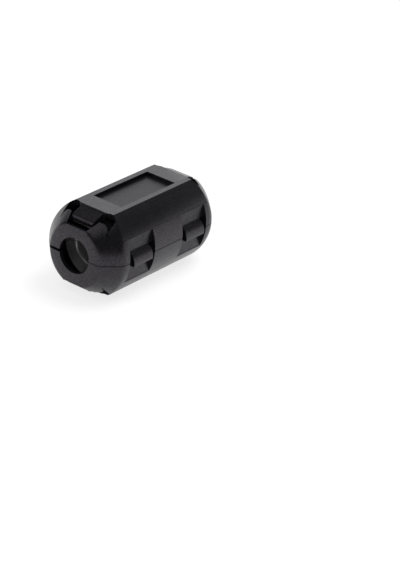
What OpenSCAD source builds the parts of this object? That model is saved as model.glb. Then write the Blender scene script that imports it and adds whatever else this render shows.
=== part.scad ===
// Clip on ferrite bead: two hinged case halves that close two ferrite half shells round a cable.
// +X runs along the cable, -Y is the latch side, +Y is the hinge side and +Z is up.
// The origin is the centre of the cable bore. All sizes are in millimetres.

/* [Ferrite] */
// Diameter of the cable bore
bore_d = 8.4; // [7:0.1:9]
// Outside diameter of the ferrite
ferrite_d = 17.6; // [16:0.1:19]
// Length of the ferrite
ferrite_l = 30; // [27:0.5:34]
// Chamfer round the outer edge of each ferrite end
ferrite_chamfer = 0.8; // [0.6:0.05:1.2]
// Gap between the two ferrite faces
ferrite_gap = 0.06; // [0.02:0.01:0.08]
// Clearance between the ferrite and the flat walls
ferrite_fit = 0.1; // [0.05:0.01:0.2]

/* [Case] */
// Wall above and below the ferrite, under the flats
flat_wall = 1.6; // [1.4:0.05:2]
// Room beside the ferrite, out to the widest point of the case
side_room = 2.7; // [2.5:0.05:3]
// Room from each end of the ferrite to the end face
end_room = 6; // [5.6:0.1:7]
// Width of the top and bottom flats
flat_w = 11.4; // [10.4:0.1:12.4]
// How far the full sides run past the ends of the ferrite
side_over = 0.6; // [0.2:0.1:1]
// Radius that blends each side into the tapered end
side_round = 3; // [2:0.1:3.5]
// Width of each end face, over its rounded edge
end_w = 16.4; // [15.4:0.1:17.2]
// Height of each end face, over its rounded edge
end_h = 16.5; // [15.4:0.1:17.2]
// Width of the flat edge above and below each end face
end_flat_w = 4.6; // [4:0.1:6]
// Radius round the edge of each end face
end_round = 1.2; // [0.8:0.1:1.6]
// Wall thickness of the sides and the tapered ends
wall = 1.3; // [1.1:0.05:1.5]
// Wall thickness of the end faces
end_wall = 1.2; // [1:0.05:1.5]
// Gap between the rims of the two halves
rim_gap = 0.16; // [0.1:0.01:0.3]

/* [Ends] */
// How much wider the cable hole in each end face is than the bore, all round
hole_margin = 0.3; // [0.1:0.05:0.6]
// Width of each spring tongue
spring_w = 6.6; // [5.6:0.1:7]
// Length of each spring tongue along the cable
spring_l = 3.9; // [3.4:0.1:4.2]
// Thickness of each spring tongue
spring_t = 1.2; // [0.9:0.05:1.4]
// How far the spring tip stands above the sloping face
spring_proud = 0.1; // [0:0.05:0.3]
// Gap beside each spring tip
spring_side_gap = 0.5; // [0.3:0.05:0.7]
// Gap in front of each spring tip
spring_front_gap = 1; // [0.8:0.05:1.2]
// Angle at which the arms beside each spring close in towards the end face
arm_angle = 22; // [15:1:28]
// Depth of the straight edge that each spring opening leaves on the end face
edge_cut = 1.05; // [0.8:0.05:1.3]
// Depth of the slit beside the cable hole on the hinge side
end_slit = 0.55; // [0.3:0.05:0.8]

/* [Label recess] */
// Length of the recess in the top flat
label_l = 20; // [16:0.5:24]
// Width of the recess in the top flat
label_w = 8.6; // [6:0.1:9.4]
// Depth of the recess in the top flat
label_depth = 0.95; // [0.5:0.05:1]

/* [Latches] */
// Distance from the end of the full side to each latch recess
latch_margin = 1.2; // [0.8:0.1:1.6]
// Length of each latch recess
recess_l = 9.2; // [8.4:0.1:9.8]
// Wall left behind the latch recess of the upper half
recess_wall = 0.45; // [0.35:0.05:0.6]
// Gap between each end of a hook and its recess
hook_side_gap = 1.2; // [1:0.05:1.6]
// How far each hook reaches below the parting plane
hook_drop = 1.3; // [1:0.05:1.6]
// Height above the parting plane where each hook starts
hook_root = 2.1; // [1.9:0.05:2.4]
// How far each hook stands out beyond the side of the case
hook_proud = 0.4; // [0.2:0.05:0.6]
// Height of each catch plate above the parting plane
catch_h = 3.4; // [2.6:0.1:3.6]
// Thickness of each catch plate
catch_t = 0.55; // [0.45:0.05:0.65]
// Length of the window in each catch plate
window_l = 4.4; // [3.6:0.1:5]
// How far the locating rib reaches below the parting plane
rib_drop = 1.3; // [0.8:0.1:1.6]

/* [Hinge] */
// Length of the hook knuckle
knuckle_l = 12; // [9:0.5:14]
// Diameter of the hinge bar
bar_d = 1.4; // [1.2:0.05:1.6]
// Radial running clearance between the bar and the knuckle
bar_fit = 0.06; // [0.04:0.01:0.1]
// Wall thickness of the knuckle round the bar
knuckle_wall = 0.7; // [0.55:0.05:0.8]
// Distance from the side of the case out to the hinge axis
hinge_out = 1; // [0.95:0.05:1.2]
// Thickness of each lug that carries the bar
lug_t = 1.2; // [1:0.1:1.6]
// Angle of the knuckle mouth, half of its opening
mouth_half_angle = 50; // [40:1:55]

/* [Hidden] */

case_color = [0.13, 0.13, 0.14];
ferrite_color = [0.3, 0.3, 0.32];

// Smoothness of the round faces
$fn = 96;
// Overlap that joins or cuts through cleanly
eps = 0.01;
// Larger than any part of the bead
far = 60;

rim_z = rim_gap / 2;
ferrite_r = ferrite_d / 2;
bore_r = bore_d / 2;
hole_r = bore_r + hole_margin;

// The flats are thicker than the sides, so that the ferrite rests on them
cavity_h = ferrite_r + ferrite_fit;
case_h = 2 * (cavity_h + flat_wall);
case_w = ferrite_d + 2 * side_room;
case_l = ferrite_l + 2 * end_room;
flat_l = ferrite_l;
side_l = ferrite_l + 2 * side_over;

// Radius of an arc that runs from the edge of a flat to the widest point
function bulge_r(half_w, half_flat, half_h) =
    (pow(half_w - half_flat, 2) + pow(half_h, 2)) / (2 * (half_w - half_flat));

// Side of the case: one arc through the edge of the flat and the widest point
arc_r = bulge_r(case_w / 2, flat_w / 2, case_h / 2);
arc_y = case_w / 2 - arc_r;
// Half width of the case and of the cavity at a height above the parting plane
function side_y(z) = arc_y + sqrt(pow(arc_r, 2) - pow(z, 2));
function cavity_y(z) = arc_y + sqrt(pow(arc_r - wall, 2) - pow(z, 2));

// Side of each end face, an arc of the same kind
end_r = bulge_r(end_w / 2, end_flat_w / 2, end_h / 2);

// Loft of the tapered ends: steps up from the parting plane to the flats, and steps round each blend
loft_steps = 12;
side_blend = 45;
blend_steps = 3;
// Half thickness of the lowest step of the loft
slice = 0.02;
// Setback of the cavity behind the outer edges of the flats
cavity_setback = 0.35;

// Slope of the top and bottom faces: from the edge of the flat down to the rounded end edge
slope_run = case_l / 2 - end_round - flat_l / 2;
slope_fall = case_h / 2 - end_h / 2 + end_round;
slope_angle = atan2(slope_fall, slope_run) - asin(end_round / norm([slope_run, slope_fall]));
function slope_z(x) = case_h / 2 - (x - flat_l / 2) * tan(slope_angle);

spring_tip_x = flat_l / 2 + spring_l;
// The springs hang from the wall of the flat, a little below its edge
spring_root_sink = 0.12;
spring_root_l = 0.6;
spring_corner_r = 0.6;
// Spring face: from its root down to the tip, which is rounded over to the front
spring_x = flat_l / 2 + spring_root_l / 2;
spring_z = case_h / 2 - 2 * spring_root_sink;
spring_tip_z = slope_z(spring_tip_x) + spring_proud;
spring_angle = atan2(spring_z - spring_tip_z, spring_tip_x - spring_x);
spring_nose_r = 0.8;
spring_nose_z = spring_tip_z + spring_nose_r * (tan(spring_angle) - 1 / cos(spring_angle));
nose_steps = 6;
// Opening round each spring: a deep gap up to the end wall, and the straight edge beyond it
spring_cut_depth = 2.8;
spring_cut_z = end_h / 2 - spring_cut_depth;
edge_z = end_h / 2 - edge_cut;
// Teardrop wing beside each spring tongue, cut in under the flat, and the horn that curls into it
wing_lean = 18;
wing_r = 1.8;
wing_x = 1.4;
wing_in = 0.4;
wing_corner_x = 0.45;
wing_tip_x = 4.5;
wing_reach = 1.35;
horn_r = 1.3;
horn_x = 4;
horn_in = 0.2;

// Latch layers, measured outwards from the ferrite
catch_ferrite_gap = 0.15;
catch_inner_y = ferrite_r + catch_ferrite_gap;
catch_outer_y = catch_inner_y + catch_t;
catch_lean = 0.2;
catch_clear = 0.15;
catch_corner_r = 0.9;
catch_end_gap = 0.3;
pad_inner_y = catch_outer_y + catch_clear;
pad_end = 0.4;
recess_y = pad_inner_y + recess_wall;
// Step left at the upper and lower edge of each latch recess
recess_step = 0.12;
recess_h = sqrt(pow(arc_r, 2) - pow(recess_y + recess_step - arc_y, 2));
latch_x = side_l / 2 - latch_margin - recess_l / 2;
window_top = 0.45;
window_bottom = -2.2;
hook_l = recess_l - 2 * hook_side_gap;
hook_gap = 0.1;
hook_inner_y = recess_y + hook_gap;
hook_outer_y = case_w / 2 + hook_proud;
nose_gap = 0.3;
nose_y = catch_outer_y + nose_gap;
nose_top = 0.2;
nose_bottom = -0.6;
// Hook front: one arc from the root of the hook out to its fullest point
hook_full_z = -hook_drop / 2;
hook_rise = hook_root - hook_full_z;
hook_reach = hook_outer_y - recess_y;
hook_arc_r = (pow(hook_rise, 2) + pow(hook_reach, 2)) / (2 * hook_reach);
hook_arc_y = hook_outer_y - hook_arc_r;
// How far the body of the hook runs up behind its front
hook_over = 0.4;

// Locating rib, inside the rim of the lower half
rib_gap = 0.2;
rib_y = cavity_y(rib_drop) - rib_gap;
rib_t = 0.75;
rib_root = 1.2;
rib_end_gap = 0.3;
rib_l = 2 * (latch_x - recess_l / 2 - pad_end - rib_end_gap);

// Hinge
hinge_y = case_w / 2 + hinge_out;
bar_r = bar_d / 2;
knuckle_in_r = bar_r + bar_fit;
knuckle_r = knuckle_in_r + knuckle_wall;
knuckle_gap = 0.25;
lug_wall = 0.45;
lug_r = bar_r + lug_wall;
lug_drop = 3.4;
lug_x = knuckle_l / 2 + knuckle_gap;
gusset_h = 3.4;

// Runs a YZ outline along X from x0 over a length
module along_x(x0, length) {
    translate([x0, 0, 0]) rotate([90, 0, 90]) linear_extrude(length) children();
}

// Repeats children at both ends of the case
module both_ends() {
    children();
    mirror([1, 0, 0]) children();
}

// Corners, in the first octant, of the boxes whose hull is the body: the sides run further than
// the flats and blend into the taper
function body_corners(inset, h, flat_half, blend) = [
    for (level = [0 : loft_steps], turn = [0 : blend_steps])
        let (
            lean = asin(h / (arc_r - inset)) * level / loft_steps,
            fade = cos(90 * level / loft_steps),
            angle = side_blend * turn / blend_steps,
            r = arc_r - inset - fade * blend * (1 - cos(angle)),
            x = flat_half + fade * (side_l / 2 - flat_half + blend * sin(angle))
        )
        [x, arc_y + r * cos(lean), max(r * sin(lean), slice)]
];

// The same for the end faces, drawn in by an inset and rounded by an edge radius
function end_corners(end_half, end_inset, edge) = [
    for (level = [0 : loft_steps], turn = [0 : blend_steps])
        let (
            angle = 90 * turn / blend_steps,
            inset = end_inset + edge * (1 - sin(angle)),
            r = end_r - inset,
            lean = asin((end_h / 2 - inset) / r) * level / loft_steps
        )
        [end_half - edge * (1 - cos(angle)), end_w / 2 - end_r + r * cos(lean), max(r * sin(lean), slice)]
];

// Loft from the body to both end faces
module case_form(inset, h, flat_half, blend, end_half, end_inset, edge) {
    hull() {
        for (corner = body_corners(inset, h, flat_half, blend)) {
            cube(2 * corner, center = true);
        }
        for (corner = end_corners(end_half, end_inset, edge)) {
            cube(2 * corner, center = true);
        }
    }
}

module outer_form() {
    case_form(0, case_h / 2, flat_l / 2, side_round, case_l / 2, 0, end_round);
}

module cavity_form() {
    case_form(wall, cavity_h, flat_l / 2 - cavity_setback, side_round - wall, case_l / 2 - end_wall, wall, 0);
}

// Everything above the rim plane, for a half that opens downwards
module above_rim() {
    translate([-far / 2, -far / 2, rim_z]) cube(far);
}

module cable_hole() {
    along_x(-far / 2, far) circle(hole_r);
}

// Upper half of the empty case, with its cable holes
module half_shell() {
    intersection() {
        difference() {
            outer_form();
            cavity_form();
            cable_hole();
        }
        above_rim();
    }
}

// Teardrop in plan, measured from the edge of the flat, with the horn taken out of it
module wing_outline() {
    tip = [wing_tip_x, flat_w / 2 + wing_reach];
    middle = [wing_x, flat_w / 2 - wing_in];
    reach = norm(tip - middle);
    heading = atan2(tip.y - middle.y, tip.x - middle.x);
    opening = acos(wing_r / reach);
    difference() {
        union() {
            translate(middle) circle(wing_r);
            polygon([
                tip,
                [wing_corner_x, tip.y],
                middle - [wing_r, 0],
                middle + wing_r * [cos(heading - opening), sin(heading - opening)]
            ]);
        }
        translate([horn_x, flat_w / 2 - horn_in]) circle(horn_r);
    }
}

// Gap between the two arms in plan, measured from the edge of the flat
module arm_gap(length) {
    root_x = spring_root_l / 2;
    root_y = spring_w / 2 + spring_side_gap + (spring_l - root_x) * tan(arm_angle);
    front_y = root_y - (length - root_x) * tan(arm_angle);
    polygon([[root_x, -root_y], [length, -front_y], [length, front_y], [root_x, root_y]]);
}

// Openings round one spring tongue, cut down through the slope; the wings lean in under the flat
module spring_cut() {
    translate([flat_l / 2, 0, spring_cut_z]) linear_extrude(far) arm_gap(spring_l + spring_front_gap);
    translate([flat_l / 2, 0, edge_z]) linear_extrude(far) arm_gap(end_room + eps);
    translate([flat_l / 2, 0, case_h / 2]) rotate([0, wing_lean, 0])
        translate([0, 0, spring_cut_z - case_h / 2]) linear_extrude(far) {
            wing_outline();
            mirror([0, 1]) wing_outline();
        }
}

// Spring tongue in plan, with rounded corners at its tip
module spring_outline() {
    root_x = flat_l / 2 - spring_root_l;
    translate([root_x, -spring_w / 2]) square([spring_tip_x - spring_corner_r - root_x, spring_w]);
    translate([root_x, spring_corner_r - spring_w / 2])
        square([spring_tip_x - root_x, spring_w - 2 * spring_corner_r]);
    for (s = [-1, 1]) {
        translate([spring_tip_x - spring_corner_r, s * (spring_w / 2 - spring_corner_r)])
            circle(spring_corner_r);
    }
}

// Rounded nose at the tip of a spring tongue
function spring_nose() = [
    for (step = [0 : nose_steps])
        let (angle = spring_angle + (90 - spring_angle) * step / nose_steps)
        [spring_tip_x - spring_nose_r * (1 - sin(angle)), spring_nose_z + spring_nose_r * cos(angle)]
];

// Spring tongue: a plate that drops from the flat along the slope
module spring_tongue() {
    root_x = flat_l / 2 - spring_root_l;
    root_z = case_h / 2 - spring_root_sink;
    intersection() {
        translate([0, far / 2, 0]) rotate([90, 0, 0]) linear_extrude(far) polygon(concat(
            [[root_x, root_z], [spring_x, spring_z]],
            spring_nose(),
            [
                [spring_tip_x, spring_tip_z - spring_t],
                [flat_l / 2, spring_z - spring_t],
                [root_x, root_z - spring_t]
            ]
        ));
        linear_extrude(far) spring_outline();
    }
}

// Half shell with its spring tongues, shared by both halves
module sprung_half() {
    difference() {
        half_shell();
        both_ends() spring_cut();
    }
    both_ends() spring_tongue();
}

// Runs a latch outline, drawn with the latch side as positive, along both latches
module at_latches(length) {
    for (s = [-1, 1]) {
        mirror([0, 1, 0]) along_x(s * latch_x - length / 2, length) children();
    }
}

// Catch plate outline seen along Y, with rounded upper corners
module catch_outline() {
    catch_l = recess_l - 2 * catch_end_gap;
    translate([-catch_l / 2, window_bottom]) square([catch_l, catch_h - catch_corner_r - window_bottom]);
    translate([-catch_l / 2 + catch_corner_r, window_bottom])
        square([catch_l - 2 * catch_corner_r, catch_h - window_bottom]);
    for (s = [-1, 1]) {
        translate([s * (catch_l / 2 - catch_corner_r), catch_h - catch_corner_r]) circle(catch_corner_r);
    }
}

// Plates of the lower half that stand behind the hooks
module catch_plates() {
    intersection() {
        at_latches(recess_l) polygon([
            [catch_inner_y, window_bottom],
            [catch_outer_y, window_bottom],
            [catch_outer_y, 0],
            [catch_outer_y - catch_lean, catch_h],
            [catch_inner_y - catch_lean, catch_h],
            [catch_inner_y, 0]
        ]);
        for (s = [-1, 1]) {
            translate([s * latch_x, 0, 0]) rotate([90, 0, 0]) linear_extrude(far) catch_outline();
        }
    }
}

// Windows that the hook noses point into
module catch_windows() {
    at_latches(window_l) translate([ferrite_r, window_bottom])
        square([case_w, window_top - window_bottom]);
}

// Thicker wall behind the latch recesses, from an inner layer out into the side wall
module latch_pads(inner_y, bottom, top) {
    at_latches(recess_l + 2 * pad_end) polygon([
        [inner_y, bottom],
        [inner_y, top],
        [side_y(top) - wall / 2, top],
        [side_y(bottom) - wall / 2, bottom]
    ]);
}

// Hooks of the upper half: a full round front, a sharp lower lip and a nose that points inwards
module hooks() {
    at_latches(hook_l) intersection() {
        translate([hook_arc_y, hook_full_z]) circle(hook_arc_r);
        polygon([
            [pad_inner_y, hook_root + hook_over],
            [pad_inner_y, rim_z],
            [hook_inner_y, rim_z],
            [hook_inner_y, -hook_drop],
            [far, -hook_drop],
            [far, hook_root + hook_over]
        ]);
    }
    at_latches(window_l - 2 * catch_end_gap) polygon([
        [hook_inner_y + eps, nose_top],
        [nose_y, nose_top],
        [nose_y, nose_bottom],
        [hook_inner_y + eps, -hook_drop]
    ]);
}

// Slots that free the sides of each hook
module hook_slots() {
    for (s = [-1, 1], e = [-1, 1]) {
        x0 = s * latch_x + e * (hook_l + hook_side_gap) / 2 - hook_side_gap / 2;
        mirror([0, 1, 0]) along_x(x0, hook_side_gap) translate([ferrite_r, -far / 2])
            square([far, far / 2 + hook_root]);
    }
}

// Runs an outline along the hinge axis from x0 over a length
module at_hinge(x0, length) {
    along_x(x0, length) translate([hinge_y, 0]) children();
}

// Hook knuckle that clips over the hinge bar, with its mouth facing down
module knuckle() {
    mouth = 2 * knuckle_r;
    difference() {
        union() {
            at_hinge(-knuckle_l / 2, knuckle_l) circle(knuckle_r);
            along_x(-knuckle_l / 2, knuckle_l) polygon([
                [cavity_y(rim_z) + wall / 2, rim_z],
                [hinge_y, rim_z],
                [hinge_y, knuckle_r],
                [side_y(gusset_h) - wall / 2, gusset_h]
            ]);
        }
        at_hinge(-far / 2, far) circle(knuckle_in_r);
        at_hinge(-far / 2, far) polygon([
            [0, 0],
            [-mouth * tan(mouth_half_angle), -mouth],
            [mouth * tan(mouth_half_angle), -mouth]
        ]);
    }
}

// Lugs and bar that the knuckle turns on
module hinge_bar() {
    at_hinge(-lug_x - lug_t, 2 * (lug_x + lug_t)) circle(bar_r);
    for (s = [-1, 1]) {
        along_x(s * (lug_x + lug_t / 2) - lug_t / 2, lug_t) {
            translate([hinge_y, 0]) circle(lug_r);
            polygon([
                [side_y(lug_drop) - wall / 2, -lug_drop],
                [hinge_y + lug_r, 0],
                [hinge_y - lug_r, 0],
                [cavity_y(rim_z) + wall / 2, -rim_z]
            ]);
        }
    }
}

// Moulded lower half: shell, springs, catch plates and hinge bar
module lower_case() {
    color(case_color) {
        difference() {
            union() {
                mirror([0, 0, 1]) sprung_half();
                latch_pads(catch_inner_y, -recess_h, -rim_z);
            }
            at_latches(recess_l) polygon([
                [catch_outer_y, 0],
                [catch_outer_y, far],
                [far, far],
                [far, -recess_h],
                [recess_y, -recess_h]
            ]);
            catch_windows();
            both_ends() translate([side_l / 2, 0, -rim_z - end_slit]) cube(far);
            at_hinge(-knuckle_l / 2 - knuckle_gap, knuckle_l + 2 * knuckle_gap)
                circle(knuckle_r + knuckle_gap);
        }
        difference() {
            catch_plates();
            catch_windows();
        }
        hinge_bar();
    }
}

// Moulded upper half: shell, springs, hooks, locating rib, knuckle and bare label recess
module upper_case() {
    color(case_color) {
        difference() {
            union() {
                sprung_half();
                latch_pads(pad_inner_y, rim_z, catch_h);
            }
            at_latches(recess_l) translate([recess_y, -far])
                square([far, far + recess_h]);
            hook_slots();
            translate([-label_l / 2, -label_w / 2, case_h / 2 - label_depth])
                cube([label_l, label_w, far]);
            for (s = [-1, 1]) {
                at_hinge(s * (lug_x + lug_t / 2) - lug_t / 2 - knuckle_gap, lug_t + 2 * knuckle_gap)
                    circle(lug_r + knuckle_gap);
            }
        }
        hooks();
        mirror([0, 1, 0]) along_x(-rib_l / 2, rib_l) polygon([
            [rib_y - rib_t, -rib_drop],
            [rib_y, -rib_drop],
            [rib_y, rim_z],
            [cavity_y(rib_root) + wall / 2, rim_z],
            [cavity_y(rib_root) + wall / 2, rib_root],
            [rib_y - rib_t, rib_root]
        ]);
        knuckle();
    }
}

// Half shell of ferrite: a chamfered half ring with a flat face towards the other half
module ferrite_half() {
    half_l = ferrite_l / 2;
    difference() {
        rotate([0, 90, 0]) rotate_extrude() polygon([
            [bore_r, -half_l],
            [ferrite_r - ferrite_chamfer, -half_l],
            [ferrite_r, -half_l + ferrite_chamfer],
            [ferrite_r, half_l - ferrite_chamfer],
            [ferrite_r - ferrite_chamfer, half_l],
            [bore_r, half_l]
        ]);
        translate([-far / 2, -far / 2, -far + ferrite_gap / 2]) cube(far);
    }
}

module lower_ferrite() {
    color(ferrite_color) mirror([0, 0, 1]) ferrite_half();
}

module upper_ferrite() {
    color(ferrite_color) ferrite_half();
}

lower_case();
upper_case();
lower_ferrite();
upper_ferrite();
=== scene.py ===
import math

import bpy
from mathutils import Matrix, Vector


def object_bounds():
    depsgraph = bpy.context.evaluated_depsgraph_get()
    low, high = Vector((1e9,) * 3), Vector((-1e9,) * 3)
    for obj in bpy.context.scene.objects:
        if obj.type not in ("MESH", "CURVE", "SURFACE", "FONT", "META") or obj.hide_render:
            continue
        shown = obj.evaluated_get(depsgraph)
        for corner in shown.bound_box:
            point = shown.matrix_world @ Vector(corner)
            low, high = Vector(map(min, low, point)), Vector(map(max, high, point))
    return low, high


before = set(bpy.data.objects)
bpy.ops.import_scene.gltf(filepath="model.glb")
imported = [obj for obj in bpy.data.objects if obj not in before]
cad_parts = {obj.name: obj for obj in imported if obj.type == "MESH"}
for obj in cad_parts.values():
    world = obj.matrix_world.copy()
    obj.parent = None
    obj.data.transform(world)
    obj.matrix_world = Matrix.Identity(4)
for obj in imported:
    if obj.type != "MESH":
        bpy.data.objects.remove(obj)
cad_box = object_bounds()

MM = 0.001


# Camera: the photograph's viewing angle

IMAGE_W = 400
IMAGE_H = 570
SENSOR_W = 36
AZIMUTH = math.radians(-52.5)
ELEVATION = math.radians(26.1)
ROLL = math.radians(4.6)
DISTANCE = 535 * MM
FOCAL_PX = 2235
OBJECT_PX = (131.46, 228.7)  # where the part's origin lies in the picture


def make_camera():
    back = Vector((
        math.sin(AZIMUTH) * math.cos(ELEVATION),
        -math.cos(AZIMUTH) * math.cos(ELEVATION),
        math.sin(ELEVATION),
    ))
    level = Vector((math.cos(AZIMUTH), math.sin(AZIMUTH), 0))
    upright = back.cross(level)
    right = level * math.cos(ROLL) + upright * math.sin(ROLL)
    up = upright * math.cos(ROLL) - level * math.sin(ROLL)
    place = back * DISTANCE
    # the point beside the part that lies at the middle of the picture
    px = DISTANCE / FOCAL_PX
    aside = right * ((IMAGE_W / 2 - OBJECT_PX[0]) * px)
    below = up * ((IMAGE_H / 2 - OBJECT_PX[1]) * px)
    middle = aside - below
    z = (place - middle).normalized()
    x = up.cross(z).normalized()
    y = z.cross(x)
    data = bpy.data.cameras.new("camera")
    data.sensor_fit = "AUTO"  # the sensor's width spans the longer side, the height
    data.sensor_width = SENSOR_W
    data.lens = FOCAL_PX * SENSOR_W / IMAGE_H
    cam = bpy.data.objects.new("camera", data)
    bpy.context.scene.collection.objects.link(cam)
    cam.matrix_world = Matrix((
        (x[0], y[0], z[0], place[0]),
        (x[1], y[1], z[1], place[1]),
        (x[2], y[2], z[2], place[2]),
        (0, 0, 0, 1),
    ))
    bpy.context.scene.camera = cam


# Node helpers

NOISE_ROUGHNESS = 0.6
NOISE_RANGE = (0.3, 0.7)  # most of a noise lies between these


class Nodes:
    def __init__(self, tree):
        self.tree = tree

    def add(self, kind, inputs=None, **settings):
        node = self.tree.nodes.new(kind)
        for name, value in settings.items():
            setattr(node, name, value)
        for key, value in (inputs or {}).items():
            self.feed(node.inputs[key], value)
        return node

    def feed(self, socket, value):
        if isinstance(value, bpy.types.NodeSocket):
            self.tree.links.new(value, socket)
        else:
            socket.default_value = value


def new_material(name):
    mat = bpy.data.materials.new(name)
    mat.use_nodes = True
    mat.node_tree.nodes.clear()
    return mat, Nodes(mat.node_tree)


def grey(value, tint=(1, 1, 1)):
    return (value * tint[0], value * tint[1], value * tint[2], 1)


def ramp(n, fac, stops):
    node = n.add("ShaderNodeValToRGB", {"Fac": fac})
    elements = node.color_ramp.elements
    while len(elements) < len(stops):
        elements.new(0.5)
    for element, (position, colour) in zip(elements, stops):
        element.position = position
        element.color = colour
    return node.outputs["Color"]


def noise(n, place, size, detail):
    node = n.add("ShaderNodeTexNoise", {
        "Vector": place, "Scale": 1 / size,
        "Detail": detail, "Roughness": NOISE_ROUGHNESS,
    })
    return node.outputs["Fac"]


def span(n, value, low, high, to_low, to_high):
    """Takes low..high to to_low..to_high, and holds the ends beyond that."""
    node = n.add("ShaderNodeMapRange", {
        "Value": value,
        "From Min": low, "From Max": high,
        "To Min": to_low, "To Max": to_high,
    })
    return node.outputs["Result"]


def maths(n, operation, *values):
    node = n.add("ShaderNodeMath", dict(enumerate(values)), operation=operation)
    return node.outputs["Value"]


def within(n, value, middle, reach):
    return maths(n, "COMPARE", value, middle, reach)


def product(n, first, second):
    return maths(n, "MULTIPLY", first, second)


def blend(n, factor, first, second):
    node = n.add("ShaderNodeMix", {
        "Factor": factor, "A": first, "B": second,
    }, data_type="FLOAT")
    return node.outputs["Result"]


def from_axis(n, place):
    """The place without its X: how far out from the bore axis, and which way."""
    node = n.add("ShaderNodeVectorMath", {0: place, 1: (0, 1, 1)}, operation="MULTIPLY")
    return node.outputs["Vector"]


def bore_place(n, place):
    """The distance from the bore axis, and along it from the middle of the bore."""
    radius = n.add("ShaderNodeVectorMath", {0: from_axis(n, place)}, operation="LENGTH")
    axes = n.add("ShaderNodeSeparateXYZ", {"Vector": place}).outputs
    return radius.outputs["Value"], maths(n, "ABSOLUTE", axes["X"])


# Materials

BUMP_STRENGTH = 0.4
BUMP_DEPTH = 0.03 * MM

VIOLET = (1.1, 1.0, 1.3)
PLASTIC_TONES = ((0.3, 0.005), (0.55, 0.008), (0.75, 0.012))
PLASTIC_GRAIN = 0.32 * MM
PLASTIC_CLOUD = 3.5 * MM
PLASTIC_CLOUD_SHARE = 0.3
PLASTIC_ROUGHNESS = (0.27, 0.33)
PLASTIC_SPECULAR = (0.3, 0.7)
PLASTIC_SPECULAR_TINT = (0.95, 0.89, 1, 1)

# wholly to not at all, by the dot product of a wall's normal and its place off the axis
INWARD = (-1.0 * MM, -0.5 * MM)
INWARD_ROUGHNESS = 0.75
INWARD_GLOSS = 0.25  # this share of the specular level is left

# middle and reach
LABEL_FLOOR = {"X": (0, 10.1 * MM), "Y": (0, 4.4 * MM), "Z": (9.55 * MM, 0.2 * MM)}
LABEL_ROUGHNESS = 0.43
LATCH_FLOOR_Y = (-10.1 * MM, 0.05 * MM)
LATCH_GLOSS = 0.58

FERRITE_TONES = ((0.3, 0.07), (0.5, 0.12), (0.72, 0.19))
FERRITE_SPECKS = 0.18 * MM
FERRITE_CLOUD = 4 * MM
FERRITE_CLOUD_SHARE = 0.4
FERRITE_ROUGHNESS = (0.55, 0.75)
FERRITE_SPECULAR = (0.4, 0.6)

# the darker skin outside, and painted shade on the outer ring of each end face, where the
# darkening starts a little further in
SKIN_AND_SHADE_RADIUS = (7.8 * MM, 8.1 * MM)
SKIN_AND_SHADE_LEVEL = 0.1
END_FACE = (14.7 * MM, 14.9 * MM)
END_FACE_SHADE_LEAD = 0.2 * MM

# the sheen on the rounded ends of the bore
RIM_ALONG = (13.9 * MM, 14.4 * MM)
RIM_RADIUS = (5.0 * MM, 5.2 * MM)
RIM_ROUGHNESS = 0.3
RIM_SPECULAR = 2


def inward(n, source):
    """1 on walls that look in towards the bore axis, 0 on the outside."""
    look = n.add("ShaderNodeVectorMath", {
        0: source["Normal"], 1: from_axis(n, source["Object"]),
    }, operation="DOT_PRODUCT")
    return span(n, look.outputs["Value"], *INWARD, 1, 0)


def label_floor(n, axes):
    """1 on the floor of the label recess, 0 everywhere else."""
    x, y, z = (within(n, axes[axis], *LABEL_FLOOR[axis]) for axis in "XYZ")
    return product(n, product(n, x, y), z)


def latch_floor(n, axes):
    """1 on the flat wall behind the latch hooks, 0 everywhere else."""
    return within(n, axes["Y"], *LATCH_FLOOR_Y)


def surface(n, height, inputs):
    """The material's one shader, with a fine bump."""
    bump = n.add("ShaderNodeBump", {
        "Height": height, "Strength": BUMP_STRENGTH, "Distance": BUMP_DEPTH,
    })
    shader = n.add("ShaderNodeBsdfPrincipled", {
        **inputs, "Normal": bump.outputs["Normal"],
    })
    n.add("ShaderNodeOutputMaterial", {"Surface": shader.outputs["BSDF"]})


def plastic(name, upper):
    """Black moulded nylon with a fine grain, duller inside and in the upper recesses."""
    mat, n = new_material(name)
    source = n.add("ShaderNodeTexCoord").outputs
    place = source["Object"]
    grain = noise(n, place, PLASTIC_GRAIN, 2)
    cloud = noise(n, place, PLASTIC_CLOUD, 3)
    colour = ramp(n, blend(n, PLASTIC_CLOUD_SHARE, grain, cloud), [
        (position, grey(tone, VIOLET)) for position, tone in PLASTIC_TONES
    ])
    inner = inward(n, source)
    outer_rough = span(n, cloud, *NOISE_RANGE, *PLASTIC_ROUGHNESS)
    outer_gloss = span(n, grain, *NOISE_RANGE, *PLASTIC_SPECULAR)
    rough = blend(n, inner, outer_rough, INWARD_ROUGHNESS)
    gloss = product(n, outer_gloss, span(n, inner, 0, 1, 1, INWARD_GLOSS))
    if upper:
        axes = n.add("ShaderNodeSeparateXYZ", {"Vector": place}).outputs
        rough = blend(n, label_floor(n, axes), rough, LABEL_ROUGHNESS)
        gloss = product(n, gloss, span(n, latch_floor(n, axes), 0, 1, 1, LATCH_GLOSS))
    surface(n, grain, {
        "Base Color": colour,
        "Roughness": rough,
        "Specular IOR Level": gloss,
        "Specular Tint": PLASTIC_SPECULAR_TINT,
    })
    return mat


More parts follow.
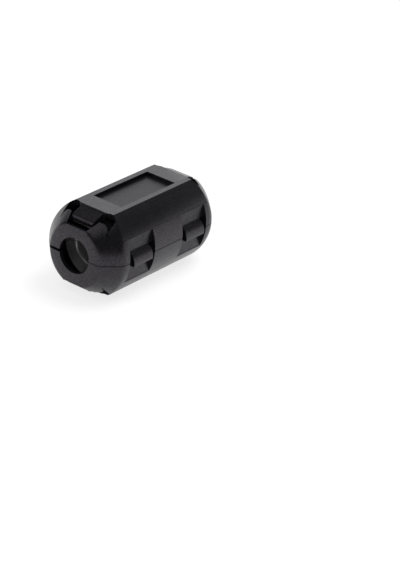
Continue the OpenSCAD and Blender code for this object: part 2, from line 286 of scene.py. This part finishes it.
def sintered(name):
    """Grey sintered ferrite: matte and speckled, with a darker skin outside and painted
    shade on the outer ring of each end face.
    """
    mat, n = new_material(name)
    place = n.add("ShaderNodeTexCoord").outputs["Object"]
    specks = noise(n, place, FERRITE_SPECKS, 2)
    cloud = noise(n, place, FERRITE_CLOUD, 4)
    colour = ramp(n, blend(n, FERRITE_CLOUD_SHARE, specks, cloud), [
        (position, grey(tone)) for position, tone in FERRITE_TONES
    ])
    radius, along = bore_place(n, place)
    # painted shade: on the end faces the darkening reaches further in and darkens their
    # outer ring
    reach = maths(n, "ADD", radius, span(n, along, *END_FACE, 0, END_FACE_SHADE_LEAD))
    shade = span(n, reach, *SKIN_AND_SHADE_RADIUS, 1, SKIN_AND_SHADE_LEVEL)
    skin_and_painted_shade = n.add("ShaderNodeVectorMath", {0: colour, "Scale": shade}, operation="SCALE")
    rim = product(n, span(n, along, *RIM_ALONG, 0, 1), span(n, radius, *RIM_RADIUS, 1, 0))
    matte = span(n, specks, *NOISE_RANGE, *FERRITE_ROUGHNESS)
    gloss = product(n, shade, span(n, specks, *NOISE_RANGE, *FERRITE_SPECULAR))
    surface(n, specks, {
        "Base Color": skin_and_painted_shade.outputs["Vector"],
        "Roughness": blend(n, rim, matte, RIM_ROUGHNESS),
        "Specular IOR Level": blend(n, rim, gloss, RIM_SPECULAR),
    })
    return mat


# Edges: every sharp edge is broken a little, curves shade smooth,
# and the ends of the ferrites' bore are rounded

SMOOTH_BELOW = math.radians(32)
BREAK_ABOVE = math.radians(33)
FLAT_BELOW = math.radians(0.5)
WELD = 0.001 * MM
CASE_BREAK = 0.16 * MM
FERRITE_BREAK = 0.1 * MM
BORE_END_X = 15 * MM
BORE_RADIUS = 4.2 * MM
BORE_END_ROUND = 0.8 * MM
MARK_REACH = 0.05 * MM


def new_group(name):
    tree = bpy.data.node_groups.new(name, "GeometryNodeTree")
    for way in ("INPUT", "OUTPUT"):
        tree.interface.new_socket("Geometry", in_out=way, socket_type="NodeSocketGeometry")
    n = Nodes(tree)
    return tree, n, n.add("NodeGroupInput").outputs["Geometry"]


def smooth_group():
    """Shades smooth across every edge that is not sharp."""
    tree, n, source = new_group("smooth_by_angle")
    angle = n.add("GeometryNodeInputMeshEdgeAngle").outputs["Unsigned Angle"]
    soft = n.add("FunctionNodeCompare", {
        "A": angle, "B": SMOOTH_BELOW,
    }, operation="LESS_THAN")
    faces = n.add("GeometryNodeSetShadeSmooth", {"Geometry": source}, domain="FACE")
    edges = n.add("GeometryNodeSetShadeSmooth", {
        "Geometry": faces.outputs["Geometry"], "Shade Smooth": soft.outputs["Result"],
    }, domain="EDGE")
    plain = n.add("GeometryNodeRemoveAttribute", {
        "Geometry": edges.outputs["Geometry"], "Name": "custom_normal",
    })
    n.add("NodeGroupOutput", {"Geometry": plain.outputs["Geometry"]})
    return tree


def rim_group():
    """Marks the edges at the bore's two ends for a bevel of their own."""
    tree, n, source = new_group("mark_bore_ends")
    radius, along = bore_place(n, n.add("GeometryNodeInputPosition").outputs["Position"])
    mark = product(
        n,
        within(n, along, BORE_END_X, MARK_REACH),
        within(n, radius, BORE_RADIUS, MARK_REACH),
    )
    stored = n.add("GeometryNodeStoreNamedAttribute", {
        "Geometry": source, "Name": "bevel_weight_edge", "Value": mark,
    }, data_type="FLOAT", domain="EDGE")
    n.add("NodeGroupOutput", {"Geometry": stored.outputs["Geometry"]})
    return tree


def add_weld(obj, name):
    obj.modifiers.new(name, "WELD").merge_threshold = WELD


def add_bevel(obj, name, method, width, segments):
    bevel = obj.modifiers.new(name, "BEVEL")
    bevel.limit_method = method
    bevel.harden_normals = True
    bevel.width = width
    bevel.segments = segments
    return bevel


def dress(node, material, width, smooth, rim=None):
    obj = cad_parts[node]
    obj.data.materials.clear()
    obj.data.materials.append(material)
    add_weld(obj, "weld")
    flat = obj.modifiers.new("flat", "DECIMATE")
    flat.decimate_type = "DISSOLVE"
    flat.angle_limit = FLAT_BELOW
    obj.modifiers.new("smooth", "NODES").node_group = smooth
    if rim:
        obj.modifiers.new("mark", "NODES").node_group = rim
        add_bevel(obj, "lip", "WEIGHT", BORE_END_ROUND, 5)
    edge = add_bevel(obj, "edge", "ANGLE", width, 2)
    edge.angle_limit = BREAK_ABOVE
    edge.miter_outer = "MITER_ARC"
    add_weld(obj, "seal")


# Floor, world and lamps

FLOOR_REACH = 6.0
FLOOR_DROP = 0.02 * MM  # so that the floor and the bottom flat are not one plane
FLOOR_GREY = 0.4
FLOOR_GLOW = 0.76

FORWARD = (0.79, 0.61, 0)  # level heading from the photograph's side to the part
ROOM_LEVEL = 0.05
WALL_LEVEL = 1.4
WALL_SPREAD = (0.64, 0.86)
BAND_HEIGHT = (0.12, 0.3)
BAND_TOP_LEVEL = 0.14
BAND_SIDE = (-0.1, 0.5)

# name, place, size, power, and whether it shows in reflections
LAMPS = (
    ("overhead", (0.32, -0.18, 0.82), 0.6, 4.0, False),
    ("front", (-0.45, 0, 0.78), 0.8, 1.3, True),
    ("left", (-0.65, 0.5, 0.4), 0.5, 0.7, True),
    ("fill", (-0.5, -0.34, 0.26), 0.2, 0.5, False),
)


def make_floor():
    mesh = bpy.data.meshes.new("floor")
    r = FLOOR_REACH
    z = cad_box[0][2] - FLOOR_DROP
    mesh.from_pydata([(-r, -r, z), (r, -r, z), (r, r, z), (-r, r, z)], [], [(0, 1, 2, 3)])
    floor = bpy.data.objects.new("floor", mesh)
    bpy.context.scene.collection.objects.link(floor)
    mat, n = new_material("floor")
    path = n.add("ShaderNodeLightPath").outputs
    seen = maths(n, "MAXIMUM", path["Is Camera Ray"], path["Is Glossy Ray"])
    seen = maths(n, "MAXIMUM", seen, path["Is Transmission Ray"])
    paper = n.add("ShaderNodeBsdfDiffuse", {"Color": grey(FLOOR_GREY)})
    glow = n.add("ShaderNodeEmission", {
        "Color": grey(1.0), "Strength": span(n, seen, 0, 1, 0, FLOOR_GLOW),
    })
    both = n.add("ShaderNodeAddShader", {
        0: paper.outputs["BSDF"], 1: glow.outputs["Emission"],
    })
    n.add("ShaderNodeOutputMaterial", {"Surface": both.outputs["Shader"]})
    mesh.materials.append(mat)


def make_world():
    """A dim room with a bright wall behind the part and a low band of light."""
    world = bpy.data.worlds.new("studio")
    world.use_nodes = True
    world.node_tree.nodes.clear()
    n = Nodes(world.node_tree)
    heading = n.add("ShaderNodeTexCoord").outputs["Generated"]
    ahead = n.add("ShaderNodeVectorMath", {
        0: heading, 1: FORWARD,
    }, operation="DOT_PRODUCT")
    wall = span(n, ahead.outputs["Value"], *WALL_SPREAD, ROOM_LEVEL, WALL_LEVEL)
    axes = n.add("ShaderNodeSeparateXYZ", {"Vector": heading}).outputs
    band = product(
        n,
        span(n, axes["Z"], *BAND_HEIGHT, 1, BAND_TOP_LEVEL),
        span(n, axes["X"], *BAND_SIDE, 0, 1),
    )
    sky = n.add("ShaderNodeBackground", {
        "Color": grey(1.0), "Strength": maths(n, "MAXIMUM", wall, band),
    })
    n.add("ShaderNodeOutputWorld", {"Surface": sky.outputs["Background"]})
    bpy.context.scene.world = world


def make_lamp(name, place, size, power, mirrored):
    data = bpy.data.lights.new(name, "AREA")
    data.shape = "DISK"
    data.size = size
    data.energy = power
    lamp = bpy.data.objects.new(name, data)
    bpy.context.scene.collection.objects.link(lamp)
    lamp.location = place
    lamp.rotation_euler = Vector(place).to_track_quat("Z", "Y").to_euler()
    lamp.visible_glossy = mirrored


make_camera()
smooth = smooth_group()
rim = rim_group()
for node in ("lower_case", "upper_case"):
    dress(node, plastic(node, node == "upper_case"), CASE_BREAK, smooth)
for node in ("lower_ferrite", "upper_ferrite"):
    dress(node, sintered(node), FERRITE_BREAK, smooth, rim)
make_floor()
make_world()
for lamp in LAMPS:
    make_lamp(*lamp)

bpy.context.scene.view_settings.view_transform = "Standard"
